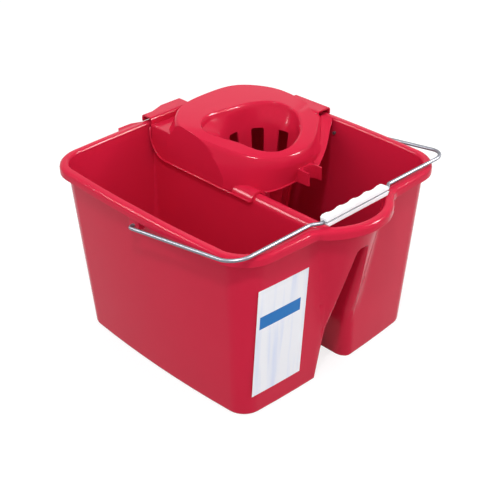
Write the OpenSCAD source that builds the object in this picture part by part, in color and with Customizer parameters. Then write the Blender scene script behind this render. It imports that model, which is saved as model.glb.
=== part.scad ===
// Divided mop bucket with a lift-off wringer, a wire bail with a clip-on grip, and a label.
// +Z is up and the base stands on z = 0. The pouring bay, the label and the folded bail
// face -Y, and the wringer sits over the back of the +X well.

/* [Tub] */
// Width of the rim between its virtual sharp corners
rim_w = 400; // [380:1:420]
// Depth of the rim between its virtual sharp corners
rim_d = 405; // [385:1:425]
// Height of the tub
tub_h = 275; // [262:1:288]
// Width of the base between its virtual sharp corners
base_w = 347; // [335:1:360]
// Depth of the base between its virtual sharp corners
base_d = 343; // [330:1:356]
// Outward bow of each side at its middle
bow = 8; // [4:0.5:10]
// Corner radius of the rim
rim_r = 47; // [40:1:54]
// Corner radius of the base
base_r = 25; // [20:1:32]
// Thickness of the tub's walls
wall = 3; // [2.4:0.1:3.6]
// Thickness of the floor
floor_t = 3; // [2.4:0.1:4]
// Height of the rim's outer face
rim_h = 13.5; // [11:0.5:16]
// Overhang of the rim beyond the wall
rim_out = 10.5; // [9:0.5:12]
// Rounding of the rim's top edges
rim_round = 6; // [4:0.5:6.5]

/* [Divider fold] */
// Half width of the gap under the divider, at the base
gap_foot = 28; // [24:0.5:30]
// Half width of the gap where its round top springs
gap_head = 8.4; // [7.5:0.1:10]
// Depth below the rim where the gap's round top springs
gap_drop = 57; // [50:1:70]
// Radius of the well corners beside the gap, at the base
well_corner = 20; // [16:0.5:24]
// Radius of the same corners at the top of the gap
head_corner = 6; // [5:0.5:8]

/* [Pouring bay] */
// Half width of the bay where its wall meets the rim
bay_half = 72; // [64:1:78]
// Half width of the bay at its foot
bay_foot_half = 30; // [24:1:36]
// Reach of the bay beyond the front wall, at the rim
bay_depth = 37; // [30:1:42]
// Height of the bay's foot
bay_foot_z = 15; // [8:1:30]

/* [Back lip] */
// Reach of the two lifting lugs beyond the back rim
lug_out = 8.5; // [6:0.5:10]
// Half distance between the outer ends of the lugs
lug_span = 66; // [58:1:72]

/* [Bail] */
// Diameter of the bail wire
wire_d = 5; // [4.4:0.1:5.6]
// Depth of the bail's pivot below the rim
pivot_drop = 22; // [20:0.5:25]
// Distance from the pivot to the bail's front run
bail_reach = 200; // [194:1:206]
// Distance of the arms from the tub's widest side, at the pivot
arm_clear = 8; // [6.5:0.1:12]
// Distance of the arms from the rim's corner line, at the front
arm_front_clear = 10.5; // [10:0.1:14]
// Bend radius of the front corners
bail_bend = 28; // [22:1:34]
// Bend radius beside the pivots
pivot_bend = 7; // [6:0.5:9]
// Outward step of the wire at the grip
crank = 9; // [7:0.5:11]
// Radial clearance of the wire in its ear
pivot_clear = 0.05; // [0.03:0.01:0.1]

/* [Grip] */
// Length of the grip
grip_len = 124; // [112:1:132]
// Thickness of the grip
grip_t = 11; // [9.5:0.5:13]
// Height of the grip above the wire
grip_up = 12.5; // [11:0.5:14]
// Height of the grip below the wire
grip_down = 6; // [5:0.5:6.4]
// Depth of the finger scallops
scallop = 3.6; // [2.5:0.1:4.5]
// Radius of the finger scallops
scallop_r = 16; // [14:1:20]
// Number of finger scallops
scallops = 4; // [4:1:4]

/* [Label] */
// Width of the label
label_w = 88; // [70:1:94]
// Height of the label
label_h = 178; // [150:1:186]
// Height of the label's lower edge
label_z = 36; // [30:1:44]
// Distance from the label's middle to the rim's left corner line
label_side = 82; // [78:1:86]
// Thickness of the label
label_t = 0.3; // [0.2:0.1:0.5]

/* [Wringer] */
// Thickness of the wringer's walls
shell = 2.5; // [2:0.1:3]
// Middle of the wringer's hood, across from the divider
hood_x = 88; // [86:1:90]
// Middle of the wringer's hood, back from the tub's middle
hood_y = 68; // [64:1:70]
// Distance of the hood's front wall from its middle
hood_r = 101; // [98:1:103]
// Height of the deck above the rim, at the tub's middle
deck_rise = 2; // [1:0.5:9]
// Rise of the deck towards the back, in degrees
deck_tilt = 8.2; // [7:0.1:9.4]
// Rise of the crown round the mouth above the deck
crown = 2.5; // [2:0.1:4]
// Depth of the skirt's lower edge below the rim
skirt_drop = 54; // [52:1:56]
// Middle of the funnel, across from the divider
funnel_x = 84; // [82:1:88]
// Middle of the funnel, back from the tub's middle
funnel_y = 52; // [50:1:56]
// Radius of the funnel where the slots begin
funnel_r = 56; // [52:1:57]
// Radius of the funnel's floor
funnel_foot_r = 37; // [32:1:42]
// Depth below the rim where the slots begin
slot_drop = 19; // [18:1:26]
// Depth of the funnel below the slots' tops
funnel_depth = 124; // [110:1:136]
// Number of slots around the funnel
slots = 8; // [8:1:8]
// Width of a slot at its top
slot_w = 20; // [17:0.5:22]
// Radius of the mop handle that the clip takes
clip_r = 12.5; // [11:0.5:13]
// Height of the clip
clip_h = 21; // [18:0.5:24]
// Clearance of the wringer above the rim and the divider
seat = 0.3; // [0.2:0.1:0.6]

/* [Hidden] */
$fn = 48;
// Steps of a corner arc and of a straight side in a tub outline
arc_n = 8;
side_n = 8;
// Steps of the bay's arc and of the wringer's outlines
bay_n = 24;
hood_n = 72;
// Heights between the foot of a tall loft and its top
ring_step = 22;
// How far a cutting solid reaches past what it cuts
past = 40;
// Largest reach of the rim at the front, with its bay, and at the back, with its lugs
front_reach = rim_d / 2 + bow + bay_depth;
back_reach = rim_d / 2 + bow + lug_out + shell + seat;
// The origin is the middle of the footprint, so the tub's own middle is moved back
tub_y = (front_reach - back_reach) / 2;
wire_r = wire_d / 2;
rim_z = tub_h - rim_h;
gap_spring = tub_h - gap_drop;
pivot_z = tub_h - pivot_drop;
arm_pivot_half = rim_w / 2 + bow + arm_clear;
arm_front_half = rim_w / 2 + arm_front_clear;
// A fillet or a flare runs this far into the wall that it meets
bite = 0.8;
// A bend in the wire laps into its straight lengths by this angle, and is slimmer by this much
bend_lap = 1;
bend_slim = 0.03;
// Heights of the wringer's parts
clip_rise = 4;
ledge_drop = 2;
skirt_z = tub_h - skirt_drop;
slot_top = tub_h - slot_drop;
funnel_z = slot_top - funnel_depth;
clip_z = skirt_z + clip_rise;
ledge_z = tub_h - ledge_drop;
// The skirt's flat left face stands this far off the divider, and its back this far off the tub
skirt_clear = 5;
back_clear = 4;
skirt_left = gap_head + wall + skirt_clear;
back_foot = wall_d(skirt_z) + bow - wall - back_clear - hood_y;
tab_inner = wall_d(skirt_z) + bow - 2 * wall;
// The hood's right side, from its middle: inside the rim at its foot, and over the rim at its deck
right_foot = rim_w / 2 - rim_out - hood_x + seat;
right_deck = rim_w / 2 - hood_x + shell;
// The folded bail lies where the grip's lower inner edge rests on the rim
grip_inner = bail_reach + crank - grip_t / 2;
bail_rest = asin((tub_h + seat - pivot_z) / norm([grip_inner, grip_down])) + atan(grip_down / grip_inner);

function mix(a, b, t) = a + (b - a) * t;

// Half sizes and corner radius of the wall's outside at height z
function wall_a(z) = mix(base_w, rim_w - 2 * rim_out, z / tub_h) / 2;
function wall_d(z) = mix(base_d, rim_d - 2 * rim_out, z / tub_h) / 2;
function wall_r(z) = mix(base_r, rim_r - rim_out, z / tub_h);

// A rectangle with rounded corners, drawn anticlockwise from its right side
function corner_point(a, d, r, q, k) =
    let (sx = q == 0 || q == 3 ? 1 : -1, sy = q < 2 ? 1 : -1, t = 90 * (q + k / arc_n))
    [sx * (a - r) + r * cos(t), sy * (d - r) + r * sin(t)];
function round_rect(a, d, r) = [
    for (q = [0:3]) each concat(
        [for (k = [0:arc_n]) corner_point(a, d, r, q, k)],
        [for (s = [1:side_n - 1])
            mix(corner_point(a, d, r, q, arc_n), corner_point(a, d, r, (q + 1) % 4, 0), s / side_n)])
];
// The same with each side bowed outwards
function bowed(p, a, d) = [
    p.x + sign(p.x) * bow * (1 - pow(p.x == 0 ? 1 : p.y / d, 2)),
    p.y + sign(p.y) * bow * (1 - pow(p.y == 0 ? 1 : p.x / a, 2))
];
function tub_ring(z, grow, up = 0) =
    let (a = wall_a(z) + grow, d = wall_d(z) + grow, r = max(wall_r(z) + grow, 4))
    [for (p = round_rect(a, d, r)) let (q = bowed(p, a, d)) [q.x, q.y, z + up]];

// The front wall's outside at x, and the bay's arc in front of it, which starts inside the wall
function front_wall(x, z) = -wall_d(z) - bow * (1 - pow(x / wall_a(z), 2));
function bay_t(z) = (z - bay_foot_z) / (tub_h - bay_foot_z);
function bay_w(z) = mix(bay_foot_half, bay_half, bay_t(z));
function bay_reach(z) = mix(1, bay_depth + wall, bay_t(z));
function bay_radius(z) = (pow(bay_w(z), 2) + pow(bay_reach(z), 2)) / (2 * bay_reach(z));
function bay_start(z) = front_wall(bay_w(z), z) + wall;
function bay_middle(z) = bay_start(z) - bay_reach(z) + bay_radius(z);
bay_levels = [for (k = [1:3]) mix(bay_foot_z, rim_z, k / 4)];
function bay_ring(z, grow, up = 0) =
    let (r = bay_radius(z), turn = asin(bay_w(z) / r), g = r + grow, y = bay_middle(z))
    concat(
        [for (k = [0:bay_n]) let (t = mix(-turn, turn, k / bay_n)) [g * sin(t), y - g * cos(t), z + up]],
        [for (side = [1, -1]) [side * g * sin(turn), bay_start(z) + past, z + up]]);

// The front of the tub at x, with the bay
function front_face(x, z) =
    let (t = bay_t(z), r = bay_radius(max(z, bay_foot_z)))
    t <= 0 || x >= bay_w(z) ? front_wall(x, z)
        : min(front_wall(x, z), bay_middle(z) - sqrt(r * r - x * x));

// The gap under the divider: its outline flares to the rounded well corners at the front and back.
// grow = wall gives the divider's own skin inside the tub.
function gap_half(z) = mix(gap_foot, gap_head, z / gap_spring);
function flare(x, y, r, from, to) = [
    for (k = [0:6]) let (t = mix(from, to, k / 6)) [x + r * cos(t), y + r * sin(t)]
];
function gap_ring(half, z, grow) =
    let (
        r = mix(well_corner, head_corner, min(z / gap_spring, 1)) - grow,
        x = half + r,
        front = front_face(x, z) + grow - bite,
        back = wall_d(z) + bow * (1 - pow(x / wall_a(z), 2)) - grow + bite,
        right = concat(
            [[x, front - past]],
            flare(x, front + r, r, -90, -180),
            flare(x, back - r, r, 180, 90),
            [[x, back + past]]),
        n = len(right))
    concat(
        [for (p = right) [p.x, p.y, z]],
        [for (k = [n - 1:-1:0]) [-right[k].x, right[k].y, z]]);
function gap_rings(grow, foot) = concat(
    [for (z = [foot, each [ring_step:ring_step:gap_spring - ring_step / 2]])
        gap_ring(gap_half(z) + grow, z, grow)],
    [for (t = [0, 25, 50, 70, 86])
        gap_ring((gap_head + grow) * cos(t), gap_spring + (gap_head + grow) * sin(t), grow)]);

// A solid through a stack of rings that all have the same number of points
module loft(rings) {
    n = len(rings[0]);
    last = len(rings) - 1;
    polyhedron(
        points = [for (ring = rings) each ring],
        faces = concat(
            [[for (k = [0:n - 1]) k]],
            [[for (k = [n - 1:-1:0]) last * n + k]],
            [for (j = [0:last - 1], k = [0:n - 1])
                let (a = j * n + k, b = j * n + (k + 1) % n)
                each [[a, a + n, b + n], [a, b + n, b]]]));
}

// Outside of the walls, with a rounded foot, up into the rim
module wall_outside() {
    foot = 5;
    top = tub_h - wall;
    loft(concat(
        [for (t = [0, 30, 60]) tub_ring(foot * (1 - cos(t)), -foot * (1 - sin(t)))],
        [for (z = [foot, top]) tub_ring(z, 0)]));
    loft([for (z = [bay_foot_z, each bay_levels, rim_z, top]) bay_ring(z, 0)]);
}

// The rim's overhanging roll, hollow below, round the tub and round the bay
module rim_roll() {
    turns = [0, 30, 60, 90];
    hollow_top = -wall - rim_round / 3;
    difference() {
        union() {
            loft(concat(
                [tub_ring(tub_h, rim_out, -rim_h)],
                [for (t = turns)
                    tub_ring(tub_h, rim_out - rim_round * (1 - cos(t)), -rim_round * (1 - sin(t)))]));
            loft(concat(
                [bay_ring(tub_h, rim_out, -rim_h)],
                [for (t = turns)
                    bay_ring(tub_h, rim_out - rim_round * (1 - cos(t)), -rim_round * (1 - sin(t)))]));
        }
        loft([for (z = [-rim_h - bite, hollow_top]) tub_ring(tub_h, rim_out - wall, z)]);
        loft([for (z = [-rim_h - bite, hollow_top]) bay_ring(tub_h, rim_out - wall, z)]);
    }
}

// The space inside the walls, with a rounded floor edge and a rounded rim edge
module inside() {
    fillet = 9;
    lip = 4;
    loft(concat(
        [for (t = [0, 30, 60, 90])
            tub_ring(floor_t + fillet * (1 - cos(t)), -wall - fillet * (1 - sin(t)))],
        [for (t = [0, 30, 60]) tub_ring(tub_h, -wall + lip * (1 - cos(t)), -lip + lip * sin(t))],
        [tub_ring(tub_h, -wall + lip, bite)]));
    loft(concat(
        [for (z = [bay_foot_z + 2 * wall, each bay_levels, rim_z]) bay_ring(z, -wall)],
        [for (t = [0, 30, 60]) bay_ring(tub_h, -wall + lip * (1 - cos(t)), -lip + lip * sin(t))],
        [bay_ring(tub_h, -wall + lip, bite)]));
}

// Two lugs under the back rim, with a dip between them
module back_lugs() {
    y = rim_d / 2 + bow;
    root = y - 2 * wall / 3;
    translate([0, 0, rim_z])
        linear_extrude(rim_h - rim_round / 2)
            polygon([
                [-lug_span, root - bite], [-lug_span + lug_out, y + lug_out], [-lug_span / 2, y + lug_out],
                [-lug_out, root], [lug_out, root], [lug_span / 2, y + lug_out],
                [lug_span - lug_out, y + lug_out], [lug_span, root - bite]
            ]);
}

// The ear that hangs from the rim round each pivot hole
module ear(side) {
    outer = rim_w / 2 + bow - wall / 2;
    inner = wall_a(pivot_z) + bow - wall / 2;
    ear_r = 10;
    ear_top = tub_h - wall - bite;
    translate([side * (inner + outer) / 2, 0, 0])
        rotate([90, 0, 90])
            linear_extrude(outer - inner, center = true) {
                translate([0, pivot_z]) circle(ear_r);
                polygon([
                    [-ear_r, pivot_z], [ear_r, pivot_z], [ear_r + wall, ear_top], [-ear_r - wall, ear_top]
                ]);
            }
}

// The moulded shell: two wells that share a fold as their divider, a rolled rim and a bay
module tub_shell() {
    difference() {
        union() {
            wall_outside();
            rim_roll();
            back_lugs();
        }
        difference() {
            inside();
            loft(gap_rings(wall, floor_t - bite));
        }
        loft(gap_rings(0, -bite));
    }
    for (side = [-1, 1]) ear(side);
}

// The tub, one moulding, held to its height and bored for the bail
module tub() {
    color("crimson")
        translate([0, tub_y, 0])
            difference() {
                resize([0, 0, tub_h]) tub_shell();
                translate([0, 0, pivot_z])
                    rotate([0, 90, 0])
                        cylinder(r = wire_r + pivot_clear, h = rim_w + past, center = true);
            }
}

// A thin sheet that follows the front wall of the -X well
module label() {
    gap = 0.15;
    columns = 8;
    left = label_side - rim_w / 2 - label_w / 2;
    sheet = [for (z = [label_z, label_z + label_h / 2, label_z + label_h])
        concat(
            [for (k = [0:columns])
                let (x = left + label_w * k / columns) [x, front_wall(x, z) - gap - label_t, z]],
            [for (k = [columns:-1:0])
                let (x = left + label_w * k / columns) [x, front_wall(x, z) - gap, z]])];
    color("aliceblue")
        translate([0, tub_y, 0])
            loft(sheet);
}

// Carries a shape drawn flat, with the bail's reach along -Y, to the folded bail's place
module folded() {
    translate([0, tub_y, pivot_z])
        rotate([-bail_rest, 0, 0])
            children();
}

// One straight length of wire, and one bend
module wire_run(from, to) {
    along = to - from;
    translate([from.x, from.y, 0])
        rotate([0, 90, atan2(along.y, along.x)])
            cylinder(r = wire_r, h = norm(along));
}
function unit(v) = v / norm(v);
function turn_at(a, p, b) =
    let (u = unit(p - a), v = unit(b - p))
    atan2(u.x * v.y - u.y * v.x, u.x * v.x + u.y * v.y);
function set_back(a, p, b, r) = r * tan(abs(turn_at(a, p, b)) / 2);
module wire_bend(a, p, b, r) {
    turn = turn_at(a, p, b);
    start = p - unit(p - a) * set_back(a, p, b, r);
    side = sign(turn);
    u = unit(p - a);
    middle = start + side * r * [-u.y, u.x];
    from = atan2(start.y - middle.y, start.x - middle.x);
    translate([middle.x, middle.y, 0])
        rotate([0, 0, (turn > 0 ? from : from + turn) - bend_lap])
            rotate_extrude(angle = abs(turn) + 2 * bend_lap)
                translate([r, 0]) circle(wire_r - bend_slim);
}

// The bail: one bent wire whose ends pass through the ears into the tub
module bail_wire() {
    pin_end = wall_a(pivot_z) + bow - 2 * wall;
    end_clear = 4;
    crank_lean = 3;
    bend_x = grip_len / 2 + end_clear;
    half = [
        [pin_end, 0], [arm_pivot_half, 0], [arm_front_half, -bail_reach],
        [bend_x + crank + crank_lean, -bail_reach], [bend_x, -bail_reach - crank]
    ];
    points = concat(half, [for (k = [len(half) - 1:-1:0]) [-half[k].x, half[k].y]]);
    grip_bend = 2 * wire_d;
    radii = [0, pivot_bend, bail_bend, grip_bend, grip_bend, grip_bend, grip_bend, bail_bend, pivot_bend, 0];
    last = len(points) - 1;
    backs = [for (k = [0:last])
        k == 0 || k == last ? 0 : set_back(points[k - 1], points[k], points[k + 1], radii[k])];
    color("silver")
        folded() {
            for (k = [0:last - 1]) {
                along = unit(points[k + 1] - points[k]);
                wire_run(points[k] + along * backs[k], points[k + 1] - along * backs[k + 1]);
            }
            for (k = [1:last - 1]) wire_bend(points[k - 1], points[k], points[k + 1], radii[k]);
        }
}

// The grip: a scalloped bar with a channel for the wire, open to the front
module bail_grip() {
    end_share = 0.7;
    pitch = grip_len / (scallops + end_share);
    channel_clear = 0.1;
    corner = 4;
    slit = wire_d / 2;
    color("white")
        folded()
            translate([0, -bail_reach - crank, 0])
                difference() {
                    rotate([90, 0, 0])
                        linear_extrude(grip_t, center = true)
                            difference() {
                                polygon([
                                    [-grip_len / 2 + corner, -grip_down], [grip_len / 2 - corner, -grip_down],
                                    [grip_len / 2, corner - grip_down], [grip_len / 2, grip_up - corner],
                                    [grip_len / 2 - corner, grip_up], [corner - grip_len / 2, grip_up],
                                    [-grip_len / 2, grip_up - corner], [-grip_len / 2, corner - grip_down]
                                ]);
                                for (k = [0:scallops - 1])
                                    translate([
                                        (k - (scallops - 1) / 2) * pitch,
                                        grip_up + scallop_r - scallop
                                    ])
                                        circle(scallop_r);
                            }
                    rotate([0, 90, 0])
                        cylinder(r = wire_r + channel_clear, h = grip_len + 2 * bite, center = true);
                    translate([-grip_len / 2 - bite, -grip_t, -slit / 2])
                        cube([grip_len + 2 * bite, grip_t, slit]);
                }
}

// Height of the wringer's sloping deck
function deck(y) = tub_h + deck_rise + y * tan(deck_tilt);
function sum(list, k = 0) = k == len(list) ? 0 : list[k] + sum(list, k + 1);

// The hood's outline round its middle: lines that each stand off by a distance in a direction,
// and a circle, all blended into one rounded shape. Each row has a line's direction, its distance
// beyond hood_r at the skirt's foot and at the deck's edge, and how late it leaves the skirt.
blend = 12;
hood_lines = [
    [197, 11, 3, 1], [235, 12, 10, 1], [270, 0, 7, 1], [304, 9, -3, 3],
    [0, right_foot - hood_r, right_deck - hood_r, 1], [45, 20, 21, 1], [90, back_foot - hood_r, 11, 1]
];
hood_corner = [35, 24];
function hood_radius(t, share) =
    let (pulls = [
        for (line = hood_lines)
            pow(max(0, cos(t - line[0])) / (hood_r + mix(line[1], line[2], pow(share, line[3]))), blend)])
    pow(sum(pulls) + pow(hood_r + mix(hood_corner[0], hood_corner[1], share), -blend), -1 / blend);
// share runs from 0 at the skirt's foot to 1 at the deck's edge, and g grows the outline
function hood_point(t, share, g) =
    let (s = hood_radius(t, share) + g) [hood_x + s * cos(t), hood_y + s * sin(t)];
function hood_ring(share, g, drop) = [
    for (k = [0:hood_n - 1])
        let (p = hood_point(360 * k / hood_n, share, g)) [p.x, p.y, deck(p.y) - drop]
];
function hood_foot(g, z) = [
    for (k = [0:hood_n - 1]) let (p = hood_point(360 * k / hood_n, 0, g)) [p.x, p.y, z]
];

// The mouth's outline round the funnel's middle: a circle with three fuller corners, each with its
// direction, its reach and how tight it is. full = 1 gives that outline and 0 a circle.
mouth_corners = [[147, 32, 6], [18, 15, 5], [238, 16, 5]];
function mouth_ring(full, g, drop) = [
    for (k = [0:hood_n - 1])
        let (
            t = 360 * k / hood_n,
            corners = [for (c = mouth_corners) c[1] * pow(max(0, cos(t - c[0])), c[2])],
            s = funnel_r + bite + full * sum(corners) + g,
            y = funnel_y + s * sin(t))
        [funnel_x + s * cos(t), y, deck(y) - drop]
];
function funnel_ring(r, z) = [
    for (k = [0:hood_n - 1]) let (t = 360 * k / hood_n) [funnel_x + r * cos(t), funnel_y + r * sin(t), z]
];

// The wringer's skin, set in by g: up the skirt, over the deck's rounded edge and the deck, over the
// mouth's lip and down to the funnel's floor. A skirt ring has its share and its depth below the deck,
// and the other rings have their distance from the deck's edge or the mouth, and that depth.
skirt_rings = [[0, 42], [0.4, 27], [0.75, 19], [1, 13.5]];
deck_rings = [[2, 7], [4, 3], [6.5, 0.5]];
lip_rings = [[5, -crown], [2.5, -crown / 2], [0.5, crown], [-0.5, 3 * crown]];
throat = 18;
throat_full = 0.4;
function skin(g) = concat(
    [hood_foot(-g, funnel_z - past - g)],
    [for (ring = skirt_rings) hood_ring(ring[0], -g, ring[1] + g)],
    [for (ring = deck_rings) hood_ring(1, -ring[0] - g, ring[1] + g)],
    [for (ring = lip_rings) mouth_ring(1, ring[0] + g, ring[1] + g)],
    [mouth_ring(throat_full, g, throat)],
    [funnel_ring(funnel_r + g, slot_top)],
    [funnel_ring(funnel_foot_r + g, funnel_z - g)]);

// One drain slot, cut outwards through the funnel
module slot() {
    tall = slot_top - funnel_z - 3 * bite;
    foot_w = slot_w * funnel_foot_r / funnel_r;
    corner = 2;
    rotate([90, 0, 90])
        linear_extrude(funnel_r + 4 * shell)
            polygon([
                [-foot_w / 2, 0], [foot_w / 2, 0], [slot_w / 2, tall - corner], [slot_w / 2 - corner, tall],
                [corner - slot_w / 2, tall], [-slot_w / 2, tall - corner]
            ]);
}

// What lies beyond the flat left side of the skirt
module left_of_skirt(g) {
    translate([-skirt_left + g - rim_w, -rim_d, 0])
        cube([rim_w, 2 * rim_d, 2 * tub_h]);
}

// What lies below the skirt's edge, which is level over the divider and then climbs to the right rim,
// apart from the room round the funnel
module below_skirt() {
    level_to = 30;
    funnel_room = 5 * shell;
    clip_edge = hood_x - clip_r - 2 * shell;
    rim_inner = rim_w / 2 - rim_out;
    difference() {
        translate([0, hood_y + 2 * past + hood_r, 0])
            rotate([90, 0, 0])
                linear_extrude(2 * hood_r + 4 * past)
                    polygon([
                        [-past, 0], [-past, skirt_z], [level_to, skirt_z], [clip_edge, clip_z],
                        [rim_inner, tub_h + seat], [rim_inner + past, tub_h + seat], [rim_inner + past, 0]
                    ]);
        translate([funnel_x, funnel_y, 0])
            cylinder(r = funnel_r + funnel_room, h = 2 * tub_h);
    }
}

// The ledge behind the hood, with the back of the skirt's flat left side under it
module ledge() {
    reach_in = 61;
    front = hood_y + reach_in;
    corner = 30;
    left = -skirt_left + seat;
    back = tab_inner + seat;
    translate([left + bite, front - bite, ledge_z - shell])
        cube([lug_span - bite - left - bite, tab_inner + shell / 2 - front + bite, shell]);
    translate([left, 0, 0])
        rotate([90, 0, 90])
            linear_extrude(shell)
                polygon(concat(
                    [[front, ledge_z - bite], [front, skirt_z + seat]],
                    [for (t = [270:15:360])
                        [back - corner + corner * cos(t), skirt_z + seat + corner + corner * sin(t)]],
                    [[back, ledge_z - bite]]));
}

// The rolls over the rim: their height above it, their depth beyond its edge, and their rounding
hook_rise = 9;
hook_lip = 2.5;
hook_round = 5;

// A roll over the right rim, drawn as a section from its inner wall to its outer edge
module right_hook() {
    width = 70;
    behind = 27;
    root = 10;
    overhang = 1.5;
    inner = rim_w / 2 - rim_out - root;
    reach = rim_w / 2 + bow + overhang;
    r = hook_round;
    top = tub_h + hook_rise;
    under = tub_h + seat;
    foot = ledge_z - shell - bite;
    translate([0, hood_y + behind - width, 0])
        mirror([1, -1, 0])
            rotate([90, 0, 90])
                linear_extrude(width)
                    difference() {
                        polygon(concat(
                            [[inner, foot]],
                            [for (t = [180:-30:90]) [inner + r + r * cos(t), top - r + r * sin(t)]],
                            [for (t = [90:-30:0]) [reach - r + r * cos(t), top - r + r * sin(t)]],
                            [[reach, under - hook_lip], [reach - shell, under - hook_lip]],
                            [[reach - shell, under], [inner + shell, under], [inner + shell, foot]]));
                        polygon([
                            [inner + shell, under - bite], [reach - shell, under - bite],
                            [reach - shell, top - r], [reach - r, top - shell],
                            [inner + r, top - shell], [inner + shell, top - r]
                        ]);
                    }
}

// The roll over the back rim, which steps out over one lug. Each ring is its plan at a height, set
// in by i, and reaches by x beyond its ends.
module back_hook() {
    r = hook_round;
    step = 4;
    left = -skirt_left + 2 * bite;
    over_rim = rim_d / 2 + bow + shell + seat;
    over_lug = over_rim + lug_out;
    top = tub_h + hook_rise;
    function plan(i, z, x) = [for (p = [
        [left - x, tab_inner + i], [lug_span + x, tab_inner + i], [lug_span + x, over_lug - i],
        [lug_span / 2 - step, over_lug - i], [lug_out / 2, over_rim - i], [left - x, over_rim - i]
    ]) [p.x, p.y, z]];
    difference() {
        loft(concat(
            [plan(0, tub_h + seat - hook_lip, 0)],
            [for (t = [0:30:90]) plan(r - r * cos(t), top - r + r * sin(t), 0)]));
        loft([
            plan(shell, tub_h - past, past), plan(shell, top - r, past), plan(r, top - shell, past)
        ]);
    }
    translate([left, tab_inner, ledge_z - shell - bite])
        cube([lug_span - left, shell, hook_rise / 2 + shell]);
}

// The arched end of the skirt over the divider
arch_r = gap_head + wall + seat;
arch_t = 4;
arch_in = 7;
module straddle(r, from, length) {
    translate([0, from, gap_spring])
        rotate([-90, 0, 0])
            cylinder(r = r, h = length);
}

// The hood with its skirt and hooks, hollow below, and the funnel that hangs in it
slot_turn = 6;
module wringer_shell() {
    difference() {
        union() {
            difference() {
                union() {
                    difference() {
                        loft(skin(0));
                        left_of_skirt(0);
                    }
                    straddle(arch_r + arch_t, hood_y - hood_r + arch_in, past);
                    ledge();
                }
                difference() {
                    loft(skin(shell));
                    left_of_skirt(shell);
                }
                below_skirt();
            }
            right_hook();
            back_hook();
        }
        for (k = [0:slots - 1])
            translate([funnel_x, funnel_y, funnel_z + bite])
                rotate([0, 0, 360 * k / slots + slot_turn])
                    slot();
        straddle(arch_r, -rim_d, 2 * rim_d);
    }
}

// The clip that holds a mop's handle in front of the hood, clear of the deck above it: a bore that is
// open to the front, and a root that joins it to the hood
clip_y = min([for (t = [250:2:290]) hood_point(t, 1, 0).y]) - clip_r - seat;
module handle_clip(r, reach, extra) {
    translate([hood_x, clip_y, clip_z - extra]) {
        cylinder(r = r, h = clip_h + 2 * extra);
        translate([-r, -reach, 0])
            cube([2 * r, reach, clip_h + 2 * extra]);
    }
}
module clip_root() {
    back = hood_y - hood_r + shell;
    translate([hood_x - clip_r - shell, clip_y, clip_z])
        cube([2 * (clip_r + shell), back - clip_y, clip_h]);
}

// The wringer, one moulding, held to its height, with a true bore in its clip
module wringer() {
    height = max([for (ring = skin(0), p = ring) p.z]) - funnel_z + shell;
    color("firebrick")
        translate([0, tub_y, 0])
            difference() {
                resize([0, 0, height]) {
                    wringer_shell();
                    handle_clip(clip_r + shell, clip_r / 2, 0);
                    clip_root();
                }
                handle_clip(clip_r, past, bite);
            }
}

tub();
wringer();
bail_wire();
bail_grip();
label();
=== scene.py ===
import math

import bmesh
import bpy
from mathutils import Matrix, Vector, kdtree


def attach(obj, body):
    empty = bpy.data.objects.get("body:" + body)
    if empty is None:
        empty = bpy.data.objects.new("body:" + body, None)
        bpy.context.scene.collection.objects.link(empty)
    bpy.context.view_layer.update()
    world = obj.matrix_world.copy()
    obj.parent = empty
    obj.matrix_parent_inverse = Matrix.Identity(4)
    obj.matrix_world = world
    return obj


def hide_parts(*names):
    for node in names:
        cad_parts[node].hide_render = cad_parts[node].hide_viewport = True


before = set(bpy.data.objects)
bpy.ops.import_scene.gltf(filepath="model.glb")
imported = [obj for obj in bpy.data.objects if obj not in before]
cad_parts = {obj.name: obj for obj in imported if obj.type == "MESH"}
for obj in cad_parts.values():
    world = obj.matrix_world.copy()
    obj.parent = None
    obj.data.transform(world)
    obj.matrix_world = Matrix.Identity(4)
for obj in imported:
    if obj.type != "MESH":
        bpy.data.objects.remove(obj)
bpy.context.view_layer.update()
scene = bpy.context.scene

# The tub: one injection moulding of glossy red polypropylene, two wells that share a folded divider,
# with a rolled rim that is hollow below and a pouring bay at the front. It stands on the wells' bottoms.
MM = 0.001
CREASE = math.radians(32)
FLAT = math.radians(0.6)
WELD = 0.01 * MM
AREA_WEIGHT = 80
EDGE_RADIUS = 0.8 * MM
EDGE_SAMPLES = 6
PEEL_DEPTH = 0.1 * MM
RED = (0.65, 0.016, 0.054, 1)
RED_DEEP = (0.59, 0.013, 0.047, 1)
# Where the front is eased. The first four are whole millimetres: how far to either side, how high, the
# step between the cuts, and how far along a level line the mean reaches.
BAY_SIDE = (26, 106)
BAY_UP = (84, 268)
BAY_STEP = 4
BAY_EASE = 12
BAY_FRONT = -155 * MM
LEVEL_SLACK = 0.05 * MM
NEIGHBOURS = 4
NEAREST = 0.1 * MM


def creased(build, crease):
    """Makes a build smooth except along its creases."""
    for face in build.faces:
        face.smooth = True
    for edge in build.edges:
        edge.smooth = edge.is_manifold and edge.calc_face_angle(math.pi) < crease


def moulded_copy(node, name, crease):
    """A merged copy of a CAD node, smooth except along its creases."""
    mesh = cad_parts[node].data.copy()
    mesh.materials.clear()
    build = bmesh.new()
    build.from_mesh(mesh)
    bmesh.ops.remove_doubles(build, verts=build.verts, dist=WELD)
    bmesh.ops.dissolve_degenerate(build, edges=build.edges, dist=WELD)
    bmesh.ops.dissolve_limit(build, angle_limit=FLAT, verts=build.verts, edges=build.edges)
    creased(build, crease)
    build.to_mesh(mesh)
    build.free()
    piece = bpy.data.objects.new(name, mesh)
    scene.collection.objects.link(piece)
    weighted = piece.modifiers.new("even_shading", "WEIGHTED_NORMAL")
    weighted.mode = "FACE_AREA"
    weighted.weight = AREA_WEIGHT
    weighted.keep_sharp = True
    return piece


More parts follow.
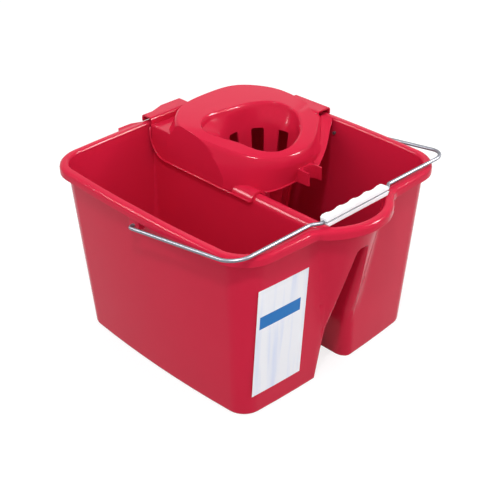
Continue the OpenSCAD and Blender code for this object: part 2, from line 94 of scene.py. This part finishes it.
def by_the_bay(vert):
    """Whether a point lies in the part of the front that is eased."""
    if vert.co.y > BAY_FRONT or vert.co.z < BAY_UP[0] * MM:
        return False
    return BAY_SIDE[0] * MM <= abs(vert.co.x) <= BAY_SIDE[1] * MM


def sliced_front(build):
    """Cuts the faces near the front along upright planes and along levels."""
    cuts = [((side * x * MM, 0, 0), (1, 0, 0)) for side in (-1, 1) for x in range(*BAY_SIDE, BAY_STEP)]
    cuts += [((0, 0, z * MM), (0, 0, 1)) for z in range(*BAY_UP, 2 * BAY_STEP)]
    for place, facing in cuts:
        near = [face for face in build.faces if min(vert.co.y for vert in face.verts) < BAY_FRONT]
        edges = dict.fromkeys(edge for face in near for edge in face.edges)
        verts = dict.fromkeys(vert for face in near for vert in face.verts)
        bmesh.ops.bisect_plane(build, geom=[*verts, *edges, *near], dist=WELD,
                               plane_co=place, plane_no=facing)


def level_neighbours(build):
    """For each point on a level line, the points before and after it along X."""
    beside = {}
    for vert in filter(by_the_bay, build.verts):
        others = [edge.other_vert(vert) for edge in vert.link_edges]
        level = [other for other in others if abs(other.co.z - vert.co.z) < LEVEL_SLACK]
        before = [other for other in level if other.co.x < vert.co.x]
        after = [other for other in level if other.co.x > vert.co.x]
        if len(before) == 1 and len(after) == 1:
            beside[vert] = (before[0], after[0])
    return beside


def level_y(beside, vert, shift):
    """How far forward a level line lies, a given distance along it from one of its points."""
    goal = vert.co.x + shift
    while vert in beside:
        ahead = beside[vert][shift > 0]
        if (ahead.co.x > goal) == (shift > 0):
            share = (goal - vert.co.x) / (ahead.co.x - vert.co.x)
            return vert.co.y + share * (ahead.co.y - vert.co.y)
        vert = ahead
    return None


def eased_shift(beside, vert):
    """How far a point moves to reach the mean of its level line on both sides of it."""
    found = [vert.co.y]
    for step in range(1, BAY_EASE + 1):
        pair = [level_y(beside, vert, side * step * MM) for side in (-1, 1)]
        if None in pair:
            break
        found.append(sum(pair) / 2)
    return sum(found) / len(found) - vert.co.y


def eased_bay(piece):
    """Softens the crease where the pouring bay leaves the front wall and its rim, level by level."""
    build = bmesh.new()
    build.from_mesh(piece.data)
    sliced_front(build)
    beside = level_neighbours(build)
    on_levels = [eased_shift(beside, vert) for vert in beside]
    shifts = dict(zip(beside, on_levels))
    levels = kdtree.KDTree(len(beside))
    for index, vert in enumerate(beside):
        levels.insert(vert.co, index)
    levels.balance()
    for vert in build.verts:
        if by_the_bay(vert) and vert not in beside:
            close = levels.find_n(vert.co, NEIGHBOURS)
            weights = [1 / (distance + NEAREST) for _spot, _index, distance in close]
            pulls = [weight * on_levels[index] for weight, (_spot, index, _distance) in zip(weights, close)]
            shifts[vert] = sum(pulls) / sum(weights)
    for vert, shift in shifts.items():
        vert.co.y += shift
    creased(build, CREASE)
    build.to_mesh(piece.data)
    build.free()


def noise(nodes, links, place, scale, detail=2, roughness=0.5):
    """A noise value over the given coordinates."""
    texture = nodes.new("ShaderNodeTexNoise")
    texture.inputs["Scale"].default_value = scale
    texture.inputs["Detail"].default_value = detail
    texture.inputs["Roughness"].default_value = roughness
    links.new(place, texture.inputs["Vector"])
    return texture.outputs["Fac"]


def colour_mix(nodes, links, share, first, second):
    """A mix that goes from a first to a second colour with the share."""
    mix = nodes.new("ShaderNodeMix")
    mix.data_type = "RGBA"
    mix.inputs["A"].default_value = first
    mix.inputs["B"].default_value = second
    links.new(share, mix.inputs["Factor"])
    return mix


def bumped(nodes, links, height, strength, depth):
    """A bump whose height comes from a value."""
    bump = nodes.new("ShaderNodeBump")
    bump.inputs["Strength"].default_value = strength
    bump.inputs["Distance"].default_value = depth
    links.new(height, bump.inputs["Height"])
    return bump


def new_material(name):
    """A new material, with its nodes, its links and its shader."""
    material = bpy.data.materials.new(name)
    material.use_nodes = True
    nodes, links = material.node_tree.nodes, material.node_tree.links
    return material, nodes, links, nodes["Principled BSDF"]


def moulding_group():
    """Marks of an injection moulding: slow mottling, faint scuffs, a fine orange peel and soft edges."""
    group = bpy.data.node_groups.new("moulding_marks", "ShaderNodeTree")
    nodes, links = group.nodes, group.links
    for label in ("Mottle", "Roughness", "Peel"):
        group.interface.new_socket(label, in_out="OUTPUT", socket_type="NodeSocketFloat")
    group.interface.new_socket("Soft Edge", in_out="OUTPUT", socket_type="NodeSocketVector")
    for label in ("Base Roughness", "Scuff"):
        group.interface.new_socket(label, in_out="INPUT", socket_type="NodeSocketFloat")
    given = nodes.new("NodeGroupInput")
    result = nodes.new("NodeGroupOutput")
    place = nodes.new("ShaderNodeTexCoord").outputs["Object"]
    links.new(noise(nodes, links, place, scale=7, detail=4), result.inputs["Mottle"])
    spread = nodes.new("ShaderNodeMath")
    spread.operation = "MULTIPLY_ADD"
    links.new(noise(nodes, links, place, scale=38, detail=7, roughness=0.65), spread.inputs[0])
    links.new(given.outputs["Scuff"], spread.inputs[1])
    links.new(given.outputs["Base Roughness"], spread.inputs[2])
    links.new(spread.outputs[0], result.inputs["Roughness"])
    links.new(noise(nodes, links, place, scale=420), result.inputs["Peel"])
    rounding = nodes.new("ShaderNodeBevel")
    rounding.samples = EDGE_SAMPLES
    rounding.inputs["Radius"].default_value = EDGE_RADIUS
    links.new(rounding.outputs["Normal"], result.inputs["Soft Edge"])
    return group


moulding_marks = moulding_group()


def moulded_plastic(name, pale, deep, roughness, scuff, peel, gloss):
    """A moulded plastic whose colour drifts between two shades."""
    material, nodes, links, shader = new_material(name)
    shader.inputs["Specular IOR Level"].default_value = gloss
    marks = nodes.new("ShaderNodeGroup")
    marks.node_tree = moulding_marks
    marks.inputs["Base Roughness"].default_value = roughness
    marks.inputs["Scuff"].default_value = scuff
    tint = colour_mix(nodes, links, marks.outputs["Mottle"], deep, pale)
    links.new(tint.outputs["Result"], shader.inputs["Base Color"])
    links.new(marks.outputs["Roughness"], shader.inputs["Roughness"])
    bump = bumped(nodes, links, marks.outputs["Peel"], peel, PEEL_DEPTH)
    links.new(marks.outputs["Soft Edge"], bump.inputs["Normal"])
    links.new(bump.outputs["Normal"], shader.inputs["Normal"])
    return material


red_plastic = moulded_plastic("red_moulding", RED, RED_DEEP,
                              roughness=0.1, scuff=0.08, peel=0.05, gloss=0.075)
tub = moulded_copy("tub", "tub_moulding", CREASE)
eased_bay(tub)
tub.data.materials.append(red_plastic)
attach(tub, "tub")
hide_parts("tub")

# The wringer: a second red moulding that lifts out, a hood with a sloping deck, a slotted funnel,
# a skirt that straddles the divider, hooks over two rims and a clip for a mop's handle.
wringer = moulded_copy("wringer", "wringer_moulding", CREASE)
wringer.data.materials.append(red_plastic)
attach(wringer, "wringer")
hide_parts("wringer")

# The web at the wringer's right front: part of the same red moulding, a thin sheet that leaves the
# hood's side below its deck and flares out to the right rim, down to the clip.
WEB_ROOT = [
    (187, 37, 277), (182, 33, 274.5), (178.5, 29.5, 273), (166, 18, 269), (152.5, 6, 263.5),
    (142, -3.5, 259.5), (127.5, -12.5, 254), (110, -16.5, 247)]
WEB_EDGE = [
    (198.5, 37, 278.3), (192.3, 17.2, 278.3), (186.5, 14, 272), (177.5, 9, 267), (163.6, -1.3, 262),
    (150, -10.8, 257), (133.5, -19.4, 247), (107.5, -31, 239.5)]
WEB_ROWS = 3
WEB_SAG = 2
WEB_WALL = 2.5 * MM
WEB_FLOW = 2


def placed_grid(build, columns, rows, spot):
    """Adds a grid of points, each placed in millimetres by a function of its column and row."""
    first = len(build.verts)
    bmesh.ops.create_grid(build, x_segments=columns - 1, y_segments=rows - 1, size=1)
    build.verts.ensure_lookup_table()
    for index in range(columns * rows):
        build.verts[first + index].co = spot(index % columns, index // columns) * MM


def smooth_piece(build, name):
    """Makes a smooth object of a finished build."""
    for face in build.faces:
        face.smooth = True
    mesh = bpy.data.meshes.new(name)
    build.to_mesh(mesh)
    build.free()
    piece = bpy.data.objects.new(name, mesh)
    scene.collection.objects.link(piece)
    return piece


def web_spot(along, row):
    """A point of the web, which sags between its root and its edge."""
    out = row / (WEB_ROWS - 1)
    sag = Vector((0, 0, WEB_SAG * math.sin(math.pi * out)))
    return Vector(WEB_ROOT[along]).lerp(Vector(WEB_EDGE[along]), out) - sag


def flared_web(name):
    """The web: a curved sheet that faces up, with an even wall below it."""
    build = bmesh.new()
    placed_grid(build, len(WEB_ROOT), WEB_ROWS, web_spot)
    bmesh.ops.recalc_face_normals(build, faces=build.faces)
    if sum(face.normal.z for face in build.faces) < 0:
        bmesh.ops.reverse_faces(build, faces=build.faces)
    piece = smooth_piece(build, name)
    rounding = piece.modifiers.new("flow", "SUBSURF")
    rounding.levels = WEB_FLOW
    rounding.render_levels = WEB_FLOW
    rounding.boundary_smooth = "PRESERVE_CORNERS"
    wall = piece.modifiers.new("wall", "SOLIDIFY")
    wall.thickness = WEB_WALL
    wall.offset = -1
    return piece


web = flared_web("wringer_web")
web.data.materials.append(red_plastic)
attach(web, "wringer")

# The lip along the skirt's lower edge: part of the same red moulding, a small bead that stiffens the
# edge on the left, from the back corner to the saddle, and on the right from there to the clip.
LIP_R = 1.5
LIP_SIDES = 10
LIP_PATHS = [
    [(-17, 205, 269), (-17, 205, 252), (-17, 202.4, 243.6), (-17, 199.2, 237), (-17, 194.3, 230.8),
     (-17, 188.1, 226), (-17, 180.9, 223), (-17, 173.1, 222), (-17, 46, 222), (-16.3, 30, 222),
     (-16, -12, 222)],
    [(16, -3.2, 222), (25, -9.2, 222), (30, -11.4, 222), (34, -13.1, 222.4), (43, -16.1, 223.3),
     (52.2, -17.9, 224.2), (61.4, -19.2, 225.1), (72.5, -20, 226)]]
# A direction that no part of either path runs along
ACROSS = Vector((1, 0, 1))


def lip_points(path):
    """A function that places the bead's points round its path."""
    def lip_spot(along, row):
        """A point on the bead, a share of a turn round its path."""
        ahead = path[min(along + 1, len(path) - 1)] - path[max(along - 1, 0)]
        side = ahead.cross(ACROSS).normalized()
        rise = side.cross(ahead).normalized()
        turn = 2 * math.pi * row / LIP_SIDES
        return path[along] + LIP_R * (math.cos(turn) * side + math.sin(turn) * rise)
    return lip_spot


def edge_lip(name):
    """Round beads along open paths, closed at their ends."""
    build = bmesh.new()
    for path in LIP_PATHS:
        placed_grid(build, len(path), LIP_SIDES + 1, lip_points([Vector(point) for point in path]))
    bmesh.ops.remove_doubles(build, verts=build.verts, dist=WELD)
    bmesh.ops.holes_fill(build, edges=build.edges, sides=LIP_SIDES)
    bmesh.ops.recalc_face_normals(build, faces=build.faces)
    return smooth_piece(build, name)


lip = edge_lip("wringer_lip")
lip.data.materials.append(red_plastic)
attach(lip, "wringer")

# The label: a printed film stuck flat on the front of the left well. It is kept plain: a pale
# bluish ground with soft upright streaks and one plain blue band.
LABEL_WHITE = (0.93, 0.94, 0.99, 1)
LABEL_STREAK = (0.74, 0.8, 0.97, 1)
STREAK_SCALE = (75, 1, 5)
STREAK_FADE = (0.5, 0.75)
BAND_BLUE = (0.0, 0.165, 0.51, 1)
BAND_ACROSS = (0.06, 0.88)
BAND_UP = (0.64, 0.755)
RIPPLE = 0.2
RIPPLE_DEPTH = 0.3 * MM
FILM_ROUGHNESS = 0.35
FILM_GLOSS = 0.25
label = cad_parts["label"]
label_corners = [Vector(corner) for corner in label.bound_box]
label_low = Vector([min(corner[axis] for corner in label_corners) for axis in range(3)])
label_size = Vector([max(corner[axis] for corner in label_corners) for axis in range(3)]) - label_low


def between(nodes, links, value, low, high):
    """1 where a value lies between two bounds."""
    middle = nodes.new("ShaderNodeMath")
    middle.operation = "COMPARE"
    links.new(value, middle.inputs[0])
    middle.inputs[1].default_value = (low + high) / 2
    middle.inputs[2].default_value = (high - low) / 2
    return middle.outputs[0]


def label_print():
    """A pale film with upright streaks, a plain band and the slight unevenness of a sticker."""
    material, nodes, links, shader = new_material("label_print")
    place = nodes.new("ShaderNodeTexCoord").outputs["Object"]
    apart = nodes.new("ShaderNodeSeparateXYZ")
    links.new(place, apart.inputs[0])
    upright = nodes.new("ShaderNodeMapping")
    upright.inputs["Scale"].default_value = STREAK_SCALE
    links.new(place, upright.inputs["Vector"])
    fade = nodes.new("ShaderNodeMapRange")
    fade.inputs["From Min"].default_value = STREAK_FADE[0]
    fade.inputs["From Max"].default_value = STREAK_FADE[1]
    links.new(noise(nodes, links, upright.outputs["Vector"], scale=1, detail=3), fade.inputs["Value"])
    ground = colour_mix(nodes, links, fade.outputs["Result"], LABEL_WHITE, LABEL_STREAK)
    across = [label_low.x + share * label_size.x for share in BAND_ACROSS]
    up = [label_low.z + share * label_size.z for share in BAND_UP]
    band = nodes.new("ShaderNodeMath")
    band.operation = "MULTIPLY"
    links.new(between(nodes, links, apart.outputs["X"], *across), band.inputs[0])
    links.new(between(nodes, links, apart.outputs["Z"], *up), band.inputs[1])
    printed = colour_mix(nodes, links, band.outputs[0], LABEL_WHITE, BAND_BLUE)
    links.new(ground.outputs["Result"], printed.inputs["A"])
    links.new(printed.outputs["Result"], shader.inputs["Base Color"])
    bump = bumped(nodes, links, noise(nodes, links, place, scale=45), RIPPLE, RIPPLE_DEPTH)
    links.new(bump.outputs["Normal"], shader.inputs["Normal"])
    shader.inputs["Roughness"].default_value = FILM_ROUGHNESS
    shader.inputs["Specular IOR Level"].default_value = FILM_GLOSS
    return material


label.data.materials.clear()
label.data.materials.append(label_print())

# The bail: one length of bright galvanised wire, bent at the arms and cranked out to the grip,
# with its two ends turned in through holes in the tub's ears.
WIRE_CREASE = math.radians(50)
ZINC = (0.22, 0.225, 0.25, 1)
ZINC_DULL = (0.13, 0.135, 0.155, 1)
ZINC_ROUGHNESS = (0.55, 0.38)


def galvanised_wire():
    """Drawn wire under zinc: bright, with fine dull flecks that change its colour and gloss."""
    material, nodes, links, shader = new_material("galvanised_wire")
    shader.inputs["Metallic"].default_value = 1
    place = nodes.new("ShaderNodeTexCoord").outputs["Object"]
    flecks = noise(nodes, links, place, scale=320, detail=4)
    zinc = colour_mix(nodes, links, flecks, ZINC_DULL, ZINC)
    links.new(zinc.outputs["Result"], shader.inputs["Base Color"])
    gloss = nodes.new("ShaderNodeMapRange")
    gloss.inputs["To Min"].default_value = ZINC_ROUGHNESS[0]
    gloss.inputs["To Max"].default_value = ZINC_ROUGHNESS[1]
    links.new(flecks, gloss.inputs["Value"])
    links.new(gloss.outputs["Result"], shader.inputs["Roughness"])
    return material


bail_wire = moulded_copy("bail_wire", "bail_wire_bent", WIRE_CREASE)
bail_wire.data.materials.append(galvanised_wire())
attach(bail_wire, "bail")
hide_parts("bail_wire")

# The grip: a white plastic moulding that clips over the wire, with shallow finger scallops along its
# top and a narrow slit along its front where the wire goes in.
GRIP_EDGE = 1.1 * MM
GRIP_SEGMENTS = 3
GRIP_LEVEL = 285.5 * MM
GRIP_ABOVE = 0.45
GRIP_WHITE = (0.9, 0.93, 0.95, 1)
GRIP_SHADE = (0.86, 0.89, 0.92, 1)


def lowered_top(piece, level, share):
    """Keeps only a share of the height that a piece has above a level."""
    for vert in piece.data.vertices:
        if vert.co.z > level:
            vert.co.z = level + share * (vert.co.z - level)


def rounded_edges(piece, offset, crease):
    """Rounds the sharp edges of a moulded copy."""
    build = bmesh.new()
    build.from_mesh(piece.data)
    sharp = [edge for edge in build.edges if edge.calc_face_angle(0) > crease]
    bmesh.ops.bevel(build, geom=sharp, offset=offset, segments=GRIP_SEGMENTS, profile=0.5, affect="EDGES",
                    clamp_overlap=True, material=-1)
    creased(build, crease)
    build.to_mesh(piece.data)
    build.free()


white_plastic = moulded_plastic("white_moulding", GRIP_WHITE, GRIP_SHADE,
                                roughness=0.35, scuff=0.1, peel=0.05, gloss=0.4)
bail_grip = moulded_copy("bail_grip", "grip_moulding", CREASE)
lowered_top(bail_grip, GRIP_LEVEL, GRIP_ABOVE)
rounded_edges(bail_grip, GRIP_EDGE, CREASE)
bail_grip.data.materials.append(white_plastic)
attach(bail_grip, "bail")
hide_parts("bail_grip")

# The studio: a pale floor that keeps the shadow, a white surround, three soft lamps and three more
# that show only as glints.
FLOOR_SIZE = 12
FLOOR_GREY = (0.42, 0.42, 0.42, 1)
FLOOR_SHADOW = (0.28, 0.28, 0.28, 1)
FLOOR_GLOW = 0.78
WHITE = (1, 1, 1, 1)
SOFT_LIGHT = 0.95
floor_mesh = bpy.data.meshes.new("studio_floor")
floor_build = bmesh.new()
bmesh.ops.create_grid(floor_build, x_segments=1, y_segments=1, size=FLOOR_SIZE / 2)
floor_build.to_mesh(floor_mesh)
floor_build.free()
floor = bpy.data.objects.new("studio_floor", floor_mesh)
scene.collection.objects.link(floor)


def seen_directly(nodes, links):
    """1 for a ray from the camera, a reflection or a refraction, and 0 for soft light."""
    path = nodes.new("ShaderNodeLightPath")
    either = nodes.new("ShaderNodeMath")
    either.operation = "MAXIMUM"
    links.new(path.outputs["Is Camera Ray"], either.inputs[0])
    links.new(path.outputs["Is Glossy Ray"], either.inputs[1])
    any_of = nodes.new("ShaderNodeMath")
    any_of.operation = "MAXIMUM"
    links.new(either.outputs[0], any_of.inputs[0])
    links.new(path.outputs["Is Transmission Ray"], any_of.inputs[1])
    return any_of.outputs[0]


def chosen_by_ray(tree, for_soft_light, for_sight, result):
    """Sends one shader to soft light and another to what is seen directly."""
    choose = tree.nodes.new("ShaderNodeMixShader")
    tree.links.new(seen_directly(tree.nodes, tree.links), choose.inputs[0])
    tree.links.new(for_soft_light.outputs[0], choose.inputs[1])
    tree.links.new(for_sight.outputs[0], choose.inputs[2])
    tree.links.new(choose.outputs[0], tree.nodes[result].inputs["Surface"])


paper, paper_nodes, paper_links, paper_shader = new_material("studio_paper")
paper_nodes.remove(paper_shader)
matt = paper_nodes.new("ShaderNodeBsdfDiffuse")
matt.inputs["Color"].default_value = FLOOR_GREY
shadowed = paper_nodes.new("ShaderNodeBsdfDiffuse")
shadowed.inputs["Color"].default_value = FLOOR_SHADOW
glow = paper_nodes.new("ShaderNodeEmission")
glow.inputs["Strength"].default_value = FLOOR_GLOW
lifted = paper_nodes.new("ShaderNodeAddShader")
paper_links.new(shadowed.outputs[0], lifted.inputs[0])
paper_links.new(glow.outputs[0], lifted.inputs[1])
chosen_by_ray(paper.node_tree, matt, lifted, "Material Output")
floor_mesh.materials.append(paper)

world = bpy.data.worlds.new("studio_white")
scene.world = world
world.use_nodes = True
soft = world.node_tree.nodes["Background"]
soft.inputs["Color"].default_value = WHITE
soft.inputs["Strength"].default_value = SOFT_LIGHT
white = world.node_tree.nodes.new("ShaderNodeBackground")
white.inputs["Color"].default_value = WHITE
white.inputs["Strength"].default_value = 1
chosen_by_ray(world.node_tree, soft, white, "World Output")


def soft_lamp(name, place, aim, size, power, lights_surfaces=True):
    """A square lamp. One that lights no surfaces is only seen as a glint."""
    lamp = bpy.data.lights.new(name, "AREA")
    lamp.shape = "SQUARE"
    lamp.size = size
    lamp.energy = power
    holder = bpy.data.objects.new(name, lamp)
    holder.location = place
    holder.rotation_euler = (Vector(aim) - Vector(place)).to_track_quat("-Z", "Y").to_euler()
    holder.visible_diffuse = lights_surfaces
    scene.collection.objects.link(holder)


soft_lamp("key_lamp", (-0.95, -0.85, 2.0), (0, 0, 0.15), size=0.12, power=14)
soft_lamp("fill_lamp", (1.3, -1.5, 1.1), (0, 0, 0.15), size=0.4, power=6)
soft_lamp("back_lamp", (1.25, 1.25, 1.35), (0, 0, 0.25), size=0.8, power=1.5)
soft_lamp("left_glint", (-1.15, 1.25, 1.3), (0, 0, 0.25), size=0.5, power=36, lights_surfaces=False)
soft_lamp("right_glint", (1.2, -1.15, 1.3), (0, 0, 0.25), size=0.5, power=90, lights_surfaces=False)
soft_lamp("front_glint", (-0.95, -0.85, 2.0), (0, 0, 0.25), size=0.5, power=90, lights_surfaces=False)

# The camera: it stands at the photograph's own viewpoint, about 1.6 m from the bucket, with a long
# lens and no shift.
CAMERA_SENSOR = 36
CAMERA_LENS = 75.83
CAMERA_PLACE = Vector((-0.937289, -0.959078, 0.955168))
CAMERA_RIGHT = Vector((0.713635, -0.700476, -0.007583))
CAMERA_UP = Vector((0.371946, 0.369715, 0.851450))
eye = bpy.data.cameras.new("camera")
eye.sensor_width = CAMERA_SENSOR
eye.lens = CAMERA_LENS
camera = bpy.data.objects.new("camera", eye)
back = CAMERA_RIGHT.cross(CAMERA_UP)
turn = Matrix((CAMERA_RIGHT, CAMERA_UP, back)).transposed()
camera.matrix_world = Matrix.Translation(CAMERA_PLACE) @ turn.to_4x4()
scene.collection.objects.link(camera)
scene.camera = camera
scene.view_settings.view_transform = "Standard"
